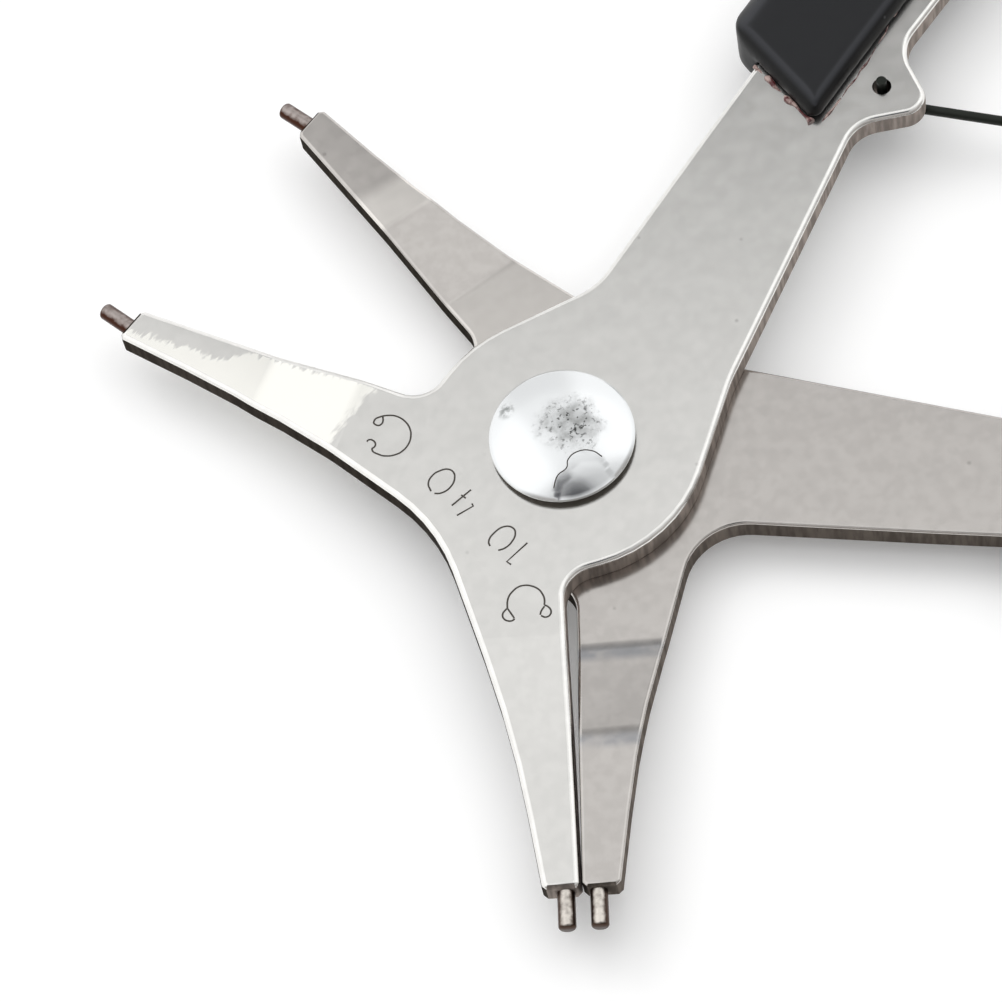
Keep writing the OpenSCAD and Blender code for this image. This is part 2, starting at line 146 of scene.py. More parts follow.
def painted_bend_light(tree, place, colour):
    """Painted light and painted reflection on the rear plate: lighter zones on one jaw and blue-grey bands at
    the bends of the other.
    """
    reach = add(tree, VECTOR, [place, REAR_INTERNAL], operation="DOT_PRODUCT")
    for start, end, soft, share in PAINTED_LIGHT_ZONES:
        low = (start - PAINTED_LIGHT_START) * MM
        high = (start + PAINTED_LIGHT_START) * MM
        begun = add(tree, RANGE, [reach, low, high, 0.0, share], **SOFT)
        left = add(tree, RANGE, [reach, (end - soft) * MM, (end + soft) * MM, 1.0, 0.0], **SOFT)
        zone = add(tree, MATH, [begun, left], operation="MULTIPLY")
        # Painted light: each zone is mixed towards a paler colour
        colour = add(tree, MIX, {0: zone, 6: colour, 7: linear("#E6E2DD")}, **COLOURS)
    reach = add(tree, VECTOR, [place, EXTERNAL_JAW], operation="DOT_PRODUCT")
    for middle in BEND_LINES:
        off = add(tree, MATH, [reach, middle * MM], operation="SUBTRACT")
        off = add(tree, MATH, [off], operation="ABSOLUTE")
        band = add(tree, RANGE, [off, 0.15 * MM, 1.1 * MM, 0.5, 0.0], **SOFT)
        patches = add(tree, NOISE, {"Vector": place, "Scale": per(2.5), "Detail": 3.0})
        patches = add(tree, RANGE, [patches, 0.3, 0.6, 0.35, 1.0], **SOFT)
        band = add(tree, MATH, [band, patches], operation="MULTIPLY")
        # Painted reflection: a blue-grey band along each bend
        colour = add(tree, MIX, {0: band, 6: colour, 7: linear("#6E7784")}, **COLOURS)
    return colour


def painted_jaw_highlight(tree, place, colour):
    """Painted highlight: a near-white zone with a ragged edge on the front plate's internal jaw."""
    reach = add(tree, VECTOR, [place, INTERNAL_JAW], operation="DOT_PRODUCT")
    sideways = (-INTERNAL_JAW[1], INTERNAL_JAW[0], 0.0)
    across = add(tree, VECTOR, [place, sideways], operation="DOT_PRODUCT")
    close = add(tree, MATH, [reach, 2.5], operation="MULTIPLY")
    drawn = add(tree, MATH, [across, 0.7], operation="MULTIPLY")
    streaks = add(tree, "ShaderNodeCombineXYZ", [close, drawn])
    ragged = add(tree, NOISE, {"Vector": streaks, "Scale": per(1.1), "Detail": 5.0})
    ragged = add(tree, RANGE, [ragged, 0.25, 0.75, -0.45 * MM, 0.45 * MM], **SOFT)
    edge = add(tree, MATH, [reach, 0.28], operation="MULTIPLY")
    edge = add(tree, MATH, [edge, 0.75 * MM], operation="ADD")
    narrowing = add(tree, RANGE, [reach, 27.8 * MM, 30.2 * MM, 0.0, 1.6 * MM], **SOFT)
    edge = add(tree, MATH, [edge, narrowing], operation="ADD")
    inside = add(tree, MATH, [across, edge], operation="SUBTRACT")
    inside = add(tree, MATH, [inside, ragged], operation="ADD")
    inside = add(tree, RANGE, [inside, -0.25 * MM, 0.25 * MM], **SOFT)
    begun = add(tree, MATH, [reach, ragged], operation="ADD")
    begun = add(tree, RANGE, [begun, 16.1 * MM, 16.9 * MM], **SOFT)
    zone = add(tree, MATH, [inside, begun], operation="MULTIPLY")
    # Painted highlight: the zone is mixed towards near white
    return add(tree, MIX, {0: zone, 6: colour, 7: linear("#FFFEF8")}, **COLOURS)


def plated_steel(name, light, dark, marks=None):
    """Nickel plate on cold-rolled sheet: pale satin with faint clouds and fine pits, and the painted light of
    its marks where given.
    """
    made, tree, place, _ = new_material(name)
    mottle = add(tree, NOISE, {"Vector": place, "Scale": per(1.2), "Detail": 6.0})
    mottle = add(tree, RANGE, [mottle, 0.35, 0.65], **SOFT)
    colour = add(tree, MIX, {0: mottle, 6: linear(light), 7: linear(dark)}, **COLOURS)
    pits = add(tree, MATH, [specks(tree, place, 1.3, 0.04), 0.3], operation="MULTIPLY")
    colour = add(tree, MIX, {0: pits, 6: colour, 7: linear("#77736E")}, **COLOURS)
    # Marks add painted light: a highlight on the front plate, lighter zones and reflection bands on the rear
    if marks is not None:
        colour = marks(tree, place, colour)
    waves = add(tree, NOISE, {"Vector": place, "Scale": per(3.5), "Detail": 1.0})
    normal = add(tree, BUMP, {"Height": waves, "Distance": 0.012 * MM})
    rough = add(tree, NOISE, {"Vector": place, "Scale": per(2.2), "Detail": 1.0})
    rough = add(tree, RANGE, [rough, 0.3, 0.7, 0.18, 0.21], **SOFT)
    shader = add(
        tree,
        SURFACE,
        {"Base Color": colour, "Metallic": 1.0, "Roughness": rough, "Normal": normal},
    )
    add(tree, OUTPUT, [shader])
    return made


def sheared_steel(name, dull, painted_light_tone):
    """Wall of a press-cut plate: dark with streaks from the punch, painted lighter where it faces one side,
    as painted light.
    """
    made, tree, place, outward = new_material(name)
    # Painted light: walls that face one side take the lighter tone
    close = add(tree, VECTOR, [outward, PAINTED_LIT_WALL_SIDE], operation="DOT_PRODUCT")
    close = add(tree, RANGE, [close, -0.1, 0.9], **SOFT)
    tone = add(tree, MIX, {0: close, 6: linear(dull), 7: linear(painted_light_tone)}, **COLOURS)
    drawn = add(tree, VECTOR, [place, (1.0, 1.0, 0.12)], operation="MULTIPLY")
    streaks = add(tree, NOISE, {"Vector": drawn, "Scale": per(0.5), "Detail": 4.0})
    shade = add(tree, RANGE, [streaks, 0.35, 0.65, 0.75, 1.25], **SOFT)
    colour = add(tree, VECTOR, {0: tone, "Scale": shade}, operation="SCALE")
    normal = add(tree, BUMP, {"Height": streaks, "Distance": 0.05 * MM})
    shader = add(
        tree,
        SURFACE,
        {
            "Base Color": colour,
            "Metallic": 0.95,
            "Roughness": 0.6,
            "Normal": normal,
            "Specular Tint": linear("#A8A8A8"),
        },
    )
    add(tree, OUTPUT, [shader])
    return made


def dark_recess_finish(name, colour):
    """Recess in plated steel, dull and dark: the floor of the stamped marks, and painted shade under the
    rivet's head.
    """
    made, tree, _, _ = new_material(name)
    shader = add(tree, SURFACE, {"Base Color": linear(colour), "Metallic": 0.7, "Roughness": 0.55})
    add(tree, OUTPUT, [shader])
    return made


def peened_rivet(name, middle, patch, smudge):
    """Bright zinc-plated rivet: mirror dome, with a dull grey patch where the tool struck it and a smudge."""
    made, tree, place, _ = new_material(name)
    away = add(tree, VECTOR, [place, middle], operation="DISTANCE")
    ragged = add(tree, NOISE, {"Vector": place, "Scale": per(1.2), "Detail": 4.0})
    ragged = add(tree, RANGE, [ragged, 0.3, 0.7, -0.5 * MM, 0.5 * MM], **SOFT)
    away = add(tree, MATH, [away, ragged], operation="ADD")
    struck_share = add(tree, RANGE, [away, 0.3 * patch * MM, 1.1 * patch * MM, 1.0, 0.0], **SOFT)
    grey = add(tree, NOISE, {"Vector": place, "Scale": per(0.9), "Detail": 6.0})
    grey = add(tree, RANGE, [grey, 0.35, 0.65, 0.25, 0.7], **SOFT)
    grey = add(tree, MATH, [struck_share, grey], operation="MULTIPLY")
    colour = add(tree, MIX, {0: grey, 6: linear("#ECEEEF"), 7: linear("#8B8C8A")}, **COLOURS)
    spots = add(tree, NOISE, {"Vector": place, "Scale": per(0.35), "Detail": 6.0})
    spots = add(tree, RANGE, [spots, 0.55, 0.66], **SOFT)
    spots = add(tree, MATH, [struck_share, spots], operation="MULTIPLY")
    colour = add(tree, MIX, {0: spots, 6: colour, 7: linear("#4A4B49")}, **COLOURS)
    smear = add(tree, VECTOR, [place, smudge], operation="DISTANCE")
    smear = add(tree, RANGE, [smear, 0.2 * MM, 1.1 * MM, 0.8, 0.0], **SOFT)
    broken = add(tree, NOISE, {"Vector": place, "Scale": per(0.7), "Detail": 4.0})
    broken = add(tree, RANGE, [broken, 0.4, 0.6], **SOFT)
    smear = add(tree, MATH, [smear, broken], operation="MULTIPLY")
    colour = add(tree, MIX, {0: smear, 6: colour, 7: linear("#7C807E")}, **COLOURS)
    rough = add(tree, RANGE, [struck_share, 0.0, 1.0, 0.2, 0.34], **SOFT)
    waves = add(tree, NOISE, {"Vector": place, "Scale": per(1.6), "Detail": 2.0})
    normal = add(tree, BUMP, {"Height": waves, "Distance": 0.012 * MM})
    dents = add(tree, NOISE, {"Vector": place, "Scale": per(0.6), "Detail": 3.0})
    dents = add(tree, MATH, [struck_share, dents], operation="MULTIPLY")
    normal = add(tree, BUMP, {"Height": dents, "Distance": 0.02 * MM, "Normal": normal})
    shader = add(
        tree,
        SURFACE,
        {"Base Color": colour, "Metallic": 1.0, "Roughness": rough, "Normal": normal},
    )
    add(tree, OUTPUT, [shader])
    return made


def turned_steel(name, light, dark):
    """Turned steel pin: painted light on its upward face and painted shade in brown down its sides, with
    noise breaking up the edge between.
    """
    made, tree, place, outward = new_material(name)
    facing = add(tree, SPLIT, [outward]).outputs["Z"]
    border_noise = add(tree, NOISE, {"Vector": place, "Scale": per(0.5), "Detail": 4.0})
    border_noise = add(tree, MATH, [border_noise, 0.5], operation="MULTIPLY")
    # Painted light and shade: the upward face takes the light colour, the sides the dark one
    painted_top_light = add(tree, MATH, [facing, border_noise], operation="ADD")
    painted_top_light = add(tree, RANGE, [painted_top_light, 0.9, 1.35], **SOFT)
    colour = add(tree, MIX, {0: painted_top_light, 6: linear(dark), 7: linear(light)}, **COLOURS)
    marks = add(tree, NOISE, {"Vector": place, "Scale": per(0.2), "Detail": 2.0})
    normal = add(tree, BUMP, {"Height": marks, "Distance": 0.01 * MM})
    shader = add(
        tree,
        SURFACE,
        {"Base Color": colour, "Metallic": 1.0, "Roughness": 0.3, "Normal": normal},
    )
    add(tree, OUTPUT, [shader])
    return made


def moulded_vinyl(name, top, painted_light_tone, side):
    """Injection-moulded black vinyl with some dust: dark on flat faces, a painted highlight in grey on
    slanted edges and painted shade in black on the sides.
    """
    made, tree, place, outward = new_material(name)
    facing = add(tree, SPLIT, [outward]).outputs["Z"]
    flat = add(tree, MATH, [facing], operation="ABSOLUTE")
    # Painted light and shade by facing: grey on slanted edges, black on the sides
    edge = add(tree, RANGE, [flat, 0.6, 0.93], **SOFT)
    colour = add(tree, MIX, {0: edge, 6: linear(side), 7: linear(painted_light_tone)}, **COLOURS)
    face = add(tree, RANGE, [flat, 0.95, 0.995], **SOFT)
    colour = add(tree, MIX, {0: face, 6: colour, 7: linear(top)}, **COLOURS)
    dust = add(tree, MATH, [specks(tree, place, 1.1, 0.1), 0.2], operation="MULTIPLY")
    colour = add(tree, MIX, {0: dust, 6: colour, 7: linear("#8C8E90")}, **COLOURS)
    rough = add(tree, NOISE, {"Vector": place, "Scale": per(3), "Detail": 5.0})
    rough = add(tree, RANGE, [rough, 0.3, 0.7, 0.36, 0.5], **SOFT)
    grain = add(tree, NOISE, {"Vector": place, "Scale": per(0.8), "Detail": 2.0})
    normal = add(tree, BUMP, {"Height": grain, "Distance": 0.01 * MM})
    shader = add(
        tree,
        SURFACE,
        {"Base Color": colour, "Roughness": rough, "Normal": normal, "Specular IOR Level": 0.24},
    )
    add(tree, OUTPUT, [shader])
    return made


def drawn_wire(name, colour):
    """Oil-blackened spring wire: dark with a narrow sheen along its length."""
    made, tree, place, _ = new_material(name)
    rough = add(tree, NOISE, {"Vector": place, "Scale": per(1.0), "Detail": 4.0})
    rough = add(tree, RANGE, [rough, 0.3, 0.7, 0.28, 0.45], **SOFT)
    shader = add(tree, SURFACE, {"Base Color": linear(colour), "Metallic": 0.6, "Roughness": rough})
    add(tree, OUTPUT, [shader])
    return made


def dried_glue(name, light, dark):
    """Squeezed-out adhesive that has dried: uneven brown to dark red, shiny where it pooled."""
    made, tree, place, _ = new_material(name)
    pools = add(tree, NOISE, {"Vector": place, "Scale": per(0.6), "Detail": 4.0})
    pools = add(tree, RANGE, [pools, 0.4, 0.6], **SOFT)
    colour = add(tree, MIX, {0: pools, 6: linear(light), 7: linear(dark)}, **COLOURS)
    lumps = add(tree, NOISE, {"Vector": place, "Scale": per(0.4), "Detail": 3.0})
    normal = add(tree, BUMP, {"Height": lumps, "Distance": 0.1 * MM})
    shader = add(tree, SURFACE, {"Base Color": colour, "Roughness": 0.3, "Normal": normal})
    add(tree, OUTPUT, [shader])
    return made


# Extra light of the table where the camera, metal or glass sees it
TABLE_LIFT = 0.14


def white_board(name):
    """Matt white table that stays white in the picture and keeps soft shadows."""
    made, tree, _, _ = new_material(name)
    path = add(tree, "ShaderNodeLightPath").outputs
    seen = add(tree, MATH, [path["Is Camera Ray"], path["Is Glossy Ray"]], operation="MAXIMUM")
    seen = add(tree, MATH, [seen, path["Is Transmission Ray"]], operation="MAXIMUM")
    strength = add(tree, MATH, [seen, TABLE_LIFT], operation="MULTIPLY")
    matt = add(tree, "ShaderNodeBsdfDiffuse", {"Color": linear("#F2F2F2")})
    lift = add(tree, "ShaderNodeEmission", {"Color": WHITE, "Strength": strength})
    both = add(tree, "ShaderNodeAddShader", [matt, lift])
    add(tree, OUTPUT, [both])
    return made


# Struck patch and smudge on the rivet's dome: their middles, in metres, and the patch's size in millimetres
PATCH_AT = Vector((0.95, -0.15, 9.25)) * MM
PATCH_R = 3.0
SMUDGE_AT = Vector((-3.35, 4.1, 8.35)) * MM

# The front plate's finish carries a painted highlight on its internal jaw
front_finish = plated_steel("nickel_plated_front_plate", "#DEDDDA", "#DAD9D6", painted_jaw_highlight)
# The rear plate's finish carries painted light and painted reflection on its jaws
rear_finish = plated_steel("nickel_plated_rear_plate", "#C6C2BE", "#C0BCB8", painted_bend_light)
# Lighter copy of the plating for the front plate's rolled edges: a painted highlight
die_roll_painted_highlight = plated_steel("nickel_plated_die_roll_painted_highlight", "#F0EFEC", "#EAE9E6")
# Sheared walls: the second colour is painted light on the walls that face one side
front_wall_finish = sheared_steel("press_sheared_front_edge", "#3E3934", "#AAA099")
rear_wall_finish = sheared_steel("press_sheared_rear_edge", "#3A352F", "#776F68")
groove_finish = dark_recess_finish("stamped_mark_floor", "#55514C")
# Painted shade under the rivet's head
under_head_painted_shade = dark_recess_finish("painted_shade_under_rivet_head", "#6E6963")
rivet_finish = peened_rivet("zinc_plated_peened_rivet", PATCH_AT, PATCH_R, SMUDGE_AT)
# Pins: the light colour is painted light on the upward face, the dark one painted shade down the sides
bright_pin_finish = turned_steel("turned_pin_steel", "#E0DAD2", "#4A3B33")
brown_pin_finish = turned_steel("darker_brown_pin_steel", "#B0A7A3", "#43291F")
# Grips: colour of flat faces, painted highlight on slanted edges, painted shade on the sides
grip_finish = moulded_vinyl("moulded_black_vinyl", "#1D1E21", "#333438", "#0B0B0C")
wire_finish = drawn_wire("oil_blackened_spring_wire", "#20241F")
glue_finish = dried_glue("dried_red_brown_adhesive", "#C4ABA4", "#5A2428")


def tube_tree():
    """Geometry Nodes: a round tube along a path, as thick as the path's radius says."""
    tree = bpy.data.node_groups.new("tube_along_path", "GeometryNodeTree")
    face = tree.interface
    face.new_socket("Path", in_out="INPUT", socket_type="NodeSocketGeometry")
    face.new_socket("Thickness", in_out="INPUT", socket_type="NodeSocketFloat").default_value = 1.0
    face.new_socket("Sides", in_out="INPUT", socket_type="NodeSocketInt").default_value = 12
    face.new_socket("Finish", in_out="INPUT", socket_type="NodeSocketMaterial")
    face.new_socket("Tube", in_out="OUTPUT", socket_type="NodeSocketGeometry")
    given = add(tree, "NodeGroupInput").outputs
    ring = add(
        tree,
        "GeometryNodeCurvePrimitiveCircle",
        {"Resolution": given["Sides"], "Radius": given["Thickness"]},
    )
    width = add(tree, "GeometryNodeInputRadius")
    swept = add(
        tree,
        "GeometryNodeCurveToMesh",
        {"Curve": given["Path"], "Profile Curve": ring, "Scale": width, "Fill Caps": True},
    )
    smooth = add(tree, "GeometryNodeSetShadeSmooth", {"Geometry": swept})
    real = add(tree, "GeometryNodeRealizeInstances", {"Geometry": smooth})
    finished = add(tree, "GeometryNodeSetMaterial", {"Geometry": real, "Material": given["Finish"]})
    add(tree, "NodeGroupOutput", [finished])
    return tree


TUBE = tube_tree()


def tube_mesh(name, points, radii, finish, sides=12, smooth=False):
    """Mesh of a tube along points given in millimetres."""
    curve = bpy.data.curves.new(name, "CURVE")
    curve.dimensions = "3D"
    kind = "BEZIER" if smooth else "POLY"
    spline = curve.splines.new(kind)
    if smooth:
        spline.bezier_points.add(len(points) - 1)
        for knot, point, radius in zip(spline.bezier_points, points, radii):
            knot.co = Vector(point) * MM
            knot.radius = radius * MM
            knot.handle_left_type = "AUTO"
            knot.handle_right_type = "AUTO"
    else:
        spline.points.add(len(points) - 1)
        for knot, point, radius in zip(spline.points, points, radii):
            knot.co = (*(Vector(point) * MM), 1.0)
            knot.radius = radius * MM
    maker = bpy.data.objects.new(name + "_path", curve)
    bpy.context.scene.collection.objects.link(maker)
    modifier = maker.modifiers.new("tube", "NODES")
    modifier.node_group = TUBE
    sockets = {s.name: s.identifier for s in TUBE.interface.items_tree if s.in_out == "INPUT"}
    modifier[sockets["Thickness"]] = 1.0
    modifier[sockets["Sides"]] = sides
    modifier[sockets["Finish"]] = finish
    shape = bpy.context.evaluated_depsgraph_get()
    mesh = bpy.data.meshes.new_from_object(maker.evaluated_get(shape), depsgraph=shape)
    mesh.name = name
    maker.modifiers.remove(modifier)
    bpy.data.objects.remove(maker)
    return mesh


def show(name, mesh):
    """New object of the picture."""
    made = bpy.data.objects.new(name, mesh)
    bpy.context.scene.collection.objects.link(made)
    return made


def settled(thing):
    """Object with its modifiers made into its mesh."""
    shape = bpy.context.evaluated_depsgraph_get()
    mesh = bpy.data.meshes.new_from_object(thing.evaluated_get(shape), depsgraph=shape)
    thing.modifiers.clear()
    thing.data = mesh
    return thing


def cad_shape(node):
    """Joined copy of a CAD node's faces, with its flat faces whole."""
    shape = bmesh.new()
    shape.from_mesh(frame["nodes"][node].data)
    bmesh.ops.remove_doubles(shape, verts=shape.verts, dist=0.002 * MM)
    bmesh.ops.dissolve_limit(
        shape, angle_limit=math.radians(0.3), verts=shape.verts, edges=shape.edges
    )
    bmesh.ops.recalc_face_normals(shape, faces=shape.faces)
    shape.normal_update()
    return shape


def round_edges(shape, wanted, width, steps):
    """Rounds the edges that a test picks."""
    edges = [e for e in shape.edges if len(e.link_faces) == 2 and wanted(e)]
    bmesh.ops.bevel(
        shape,
        geom=edges,
        offset=width * MM,
        segments=steps,
        profile=0.5,
        affect="EDGES",
        clamp_overlap=False,
    )
    shape.normal_update()


def mesh_of(name, shape, finishes):
    """Mesh from a shape, smooth except at its sharp edges."""
    mesh = bpy.data.meshes.new(name)
    shape.to_mesh(mesh)
    shape.free()
    for finish in finishes:
        mesh.materials.append(finish)
    mesh.polygons.foreach_set("use_smooth", [True] * len(mesh.polygons))
    mesh.set_sharp_from_angle(angle=SHARP)
    return mesh


def level_normals(thing):
    """Keeps flat faces flat up to the edges where they run into rounded ones."""
    modifier = thing.modifiers.new("flat faces", "WEIGHTED_NORMAL")
    modifier.keep_sharp = True
    mesh = settled(thing).data
    normals = [corner.vector.copy() for corner in mesh.corner_normals]
    for face in mesh.polygons:
        if abs(face.normal.z) > FLAT_TILT:
            for corner in face.loop_indices:
                normals[corner] = face.normal
    mesh.normals_split_custom_set(normals)
    return thing


def cut(thing, tool):
    """Takes a mesh out of an object, and leaves the tool's finish in the cut."""
    blade = show("blade", tool)
    modifier = thing.modifiers.new("cut", "BOOLEAN")
    modifier.operation = "DIFFERENCE"
    modifier.solver = "MANIFOLD"
    modifier.material_mode = "TRANSFER"
    modifier.object = blade
    settled(thing)
    bpy.data.objects.remove(blade)
    return thing


def place_on(thing, body, slot, *nodes):
    """Gives a piece its body and hides the CAD nodes it stands for; the slot is not used."""
    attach(thing, body)
    if nodes:
        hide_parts(*nodes)
    return thing


# Rounding of the plates' edges where the punch entered and where it left
FRONT_ROLL = 0.52
REAR_ROLL = 0.34
BURR_SIDE = 0.08

# How far the edges of an ear's hole lie from its middle, and the corners of a jaw's end from its pin's middle
HOLE_REACH = 1.2
PIN_REACH = 3.6

# Longest edge of the small arcs at a jaw's end
ARC_EDGE = 0.4

# Rise of the normals between which a face belongs to the sheared wall, and up to which a trimmed end does,
# up to which a face belongs to the rolled edge, and past which it is flat
WALL_TILT = (-0.9, 0.5)
END_TILT = 0.9
ROLL_TILT = 0.985
FLAT_TILT = 0.9999

pin_mounts = [m for m in frame["record"]["mounts"] if m["kind"] == "pin"]


def blunt_corners(shape):
    """Leaves a chamfer for each small arc at a jaw's end, so that a wide rounding fits round it."""
    ends = [Vector(m["pos_m"]) for m in pin_mounts]
    spare = []
    for edge in shape.edges:
        foot = edge.verts[0]
        run = edge.verts[1].co - foot.co
        at_end = any((foot.co - end).length < PIN_REACH * MM for end in ends)
        if at_end and abs(run.z) > 0.9 * run.length:
            longest = max(e.calc_length() for e in foot.link_edges if e is not edge)
            if longest < ARC_EDGE * MM:
                spare.append(edge)
    bmesh.ops.dissolve_edges(shape, edges=spare, use_verts=True)
    shape.normal_update()


def cut_off(face):
    """Whether a face belongs to the trimmed end of a jaw."""
    outward = Vector((face.normal.x, face.normal.y, 0.0))
    for mount in pin_mounts:
        near = (face.calc_center_median() - Vector(mount["pos_m"])).length < PIN_REACH * MM
        if near and outward.dot(Vector(mount["axis"])) > 0.8 * outward.length:
            return True
    return False


def plate(node, roll):
    """Press-cut lever: rounded on the side the punch entered, dull on its sheared walls and trimmed ends."""
    shape = cad_shape(node)
    blunt_corners(shape)

    def corner_on(edge, up):
        place = edge.verts[0].co / MM
        faces = sorted(edge.link_faces, key=lambda f: f.normal.z * up)
        in_hole = math.hypot(place.x - EAR.x, abs(place.y) - EAR.y) < HOLE_REACH
        return abs(faces[0].normal.z) < 0.3 and faces[1].normal.z * up > 0.7 and not in_hole

    round_edges(shape, lambda e: corner_on(e, 1), roll, 4)
    round_edges(shape, lambda e: corner_on(e, -1), BURR_SIDE, 1)
    # Walls take the second finish and rolled edges the third, which on the front plate is a painted highlight
    for face in shape.faces:
        slant = face.normal.z
        trimmed = slant < ROLL_TILT and cut_off(face)
        if WALL_TILT[0] < slant < (END_TILT if trimmed else WALL_TILT[1]):
            face.material_index = 1
        elif WALL_TILT[1] <= slant < ROLL_TILT and not trimmed:
            face.material_index = 2
    return shape


def pressing(node, shape, flat, wall, rolled):
    """Shown piece of a plate."""
    name = node + "_pressing"
    return show(name, mesh_of(name, shape, (flat, wall, rolled)))


# Field of the marks on the front plate, split into small faces so that each stroke cuts cleanly
MARK_FIELD = ((-16, -6), (-16, 11))


def split_field(shape):
    """Cuts a plate's upper face along a grid over its marks."""
    for axis, (start, end) in enumerate(MARK_FIELD):
        normal = Vector((1, 0, 0)) if axis == 0 else Vector((0, 1, 0))
        for step in range(start, end + 1):
            faces = [f for f in shape.faces if f.normal.z > FLAT_TILT]
            edges = {e for f in faces for e in f.edges}
            corners = {v for f in faces for v in f.verts}
            field = [*corners, *edges, *faces]
            spot = normal * step * MM
            bmesh.ops.bisect_plane(shape, geom=field, dist=1e-7, plane_co=spot, plane_no=normal)


# Strokes of the marks on the front plate, in millimetres: ring signs, and the sizes from 10 to 40
INTERNAL_RING = (
    [(-13.77, 9.17), (-13.48, 9.45), (-13.09, 9.47), (-12.3, 9.24), (-11.69, 8.79), (-11.26, 7.97)]
    + [(-11.2, 7.16), (-11.4, 6.53), (-11.96, 5.86), (-12.76, 5.5), (-13.34, 5.5), (-14.04, 5.73)]
    + [(-14.57, 6.17), (-14.9, 6.94), (-14.61, 7.05), (-14.43, 7.27), (-14.49, 7.67), (-14.73, 7.88)]
    + [(-15.01, 7.83)]
)
INTERNAL_EYE = [(-13.77, 9.17), (-13.52, 8.79), (-13.2, 8.76), (-12.95, 8.97), (-12.8, 9.35)]
EXTERNAL_RING = [
    (-10.9, -12.2), (-10.59, -11.58), (-10.27, -11.23), (-9.83, -10.99), (-9.3, -10.85), (-8.76, -10.94),
    (-8.22, -11.29), (-7.81, -11.88), (-7.72, -12.37), (-7.76, -12.86), (-8.0, -13.39),
]
EXTERNAL_EYES = (
    [(-10.9, -12.2), (-10.83, -12.75), (-10.77, -13.3)],
    [
        (-10.75, -13.36), (-10.96, -13.44), (-11.33, -13.31), (-11.56, -12.97), (-11.5, -12.55),
        (-10.95, -12.2),
    ],
    [(-8.0, -13.39), (-7.78, -13.72), (-7.74, -14.14), (-7.97, -14.44), (-8.39, -14.46), (-8.68, -14.15)],
    [(-8.7, -14.05), (-8.5, -13.8), (-8.05, -13.5)],
)
ZERO_40 = (
    [(-12.07, 0.85), (-11.95, 1.66), (-11.16, 2.23), (-10.4, 2.27)],
    [
        (-10.4, 2.27), (-9.98, 2.13), (-9.63, 1.7), (-9.71, 1.11), (-10.42, 0.43), (-11.38, 0.29),
        (-11.9, 0.52),
    ],
)
ZERO_10 = [
    (-9.77, -6.25), (-9.7, -5.83), (-8.95, -5.29), (-7.78, -5.2), (-7.3, -5.69), (-7.35, -6.16),
    (-7.93, -6.74), (-8.72, -7.01), (-9.32, -6.94),
]
CURVED_STROKES = (
    INTERNAL_RING, INTERNAL_EYE, EXTERNAL_RING, *EXTERNAL_EYES, *ZERO_40, ZERO_10,
)
STRAIGHT_STROKES = (
    [(-11.06, -1.23), (-8.97, -0.64)],
    [(-9.92, -0.69), (-9.7, -1.17)],
    [(-11.06, -2.29), (-9.46, -2.14), (-9.45, -1.86)],
    [(-6.82, -7.46), (-9.12, -8.24), (-8.91, -8.67)],
)
STROKE_R = 0.09
STROKE_LIFT = 0.035

front_shape = plate("front_plate", FRONT_ROLL)
split_field(front_shape)
front = pressing("front_plate", front_shape, front_finish, front_wall_finish, die_roll_painted_highlight)
for strokes, smooth in ((CURVED_STROKES, True), (STRAIGHT_STROKES, False)):
    for stroke in strokes:
        path = [(x, y, FRONT_PLATE[1] + STROKE_LIFT) for x, y in stroke]
        cut(front, tube_mesh("stroke", path, [STROKE_R] * len(path), groove_finish, 10, smooth))
front.data.set_sharp_from_angle(angle=SHARP)
level_normals(front)
place_on(front, "front_lever", "plate_steel", "front_plate")

rear_shape = plate("rear_plate", REAR_ROLL)
rear = level_normals(pressing("rear_plate", rear_shape, rear_finish, rear_wall_finish, rear_finish))
place_on(rear, "rear_lever", "plate_steel", "rear_plate")


# Rivet: radius and height of its profile, in millimetres
HEAD_R = 6.3
HEAD_FOOT = 6.9
HEAD_RIM = 0.85
HEAD_GAP = 0.55
HEAD_TOP = 9.3
SHANK_R = 3.0
TAIL_R = 5.2
TAIL_CORNER = 1.2
RIM_ROUND = 0.22
DOME_H = HEAD_TOP - HEAD_FOOT - HEAD_RIM
DOME_R = (HEAD_R**2 + DOME_H**2) / (2 * DOME_H)


def dome_height(radius):
    """Height of the head's dome at a distance from the axis."""
    return HEAD_TOP - DOME_R + math.sqrt(DOME_R**2 - radius**2)


def rivet_profile():
    """Points of the rivet's outline from the edge of its foot to near the top of its head."""
    points = [(TAIL_R - TAIL_CORNER, 0.0)]
    for i in range(1, 7):
        a = math.radians(15 * i)
        radius = TAIL_R - TAIL_CORNER + TAIL_CORNER * math.sin(a)
        points.append((radius, TAIL_CORNER * (1 - math.cos(a))))
    points += [(TAIL_R, REAR_PLATE[0]), (SHANK_R, REAR_PLATE[0]), (SHANK_R, HEAD_FOOT)]
    points += [(HEAD_R - 0.7, HEAD_FOOT), (HEAD_R - 0.45, HEAD_FOOT + 0.3)]
    points += [(HEAD_R - 0.05, HEAD_FOOT + HEAD_GAP)]
    points += [(HEAD_R, HEAD_FOOT + HEAD_GAP + 0.08), (HEAD_R, HEAD_FOOT + HEAD_RIM - 0.1)]
    points += [(HEAD_R - 0.06, HEAD_FOOT + HEAD_RIM + 0.02)]
    rings = 60
    for i in range(1, rings):
        radius = (HEAD_R - RIM_ROUND) * (1 - i / rings)
        points.append((radius, dome_height(radius)))
    return points


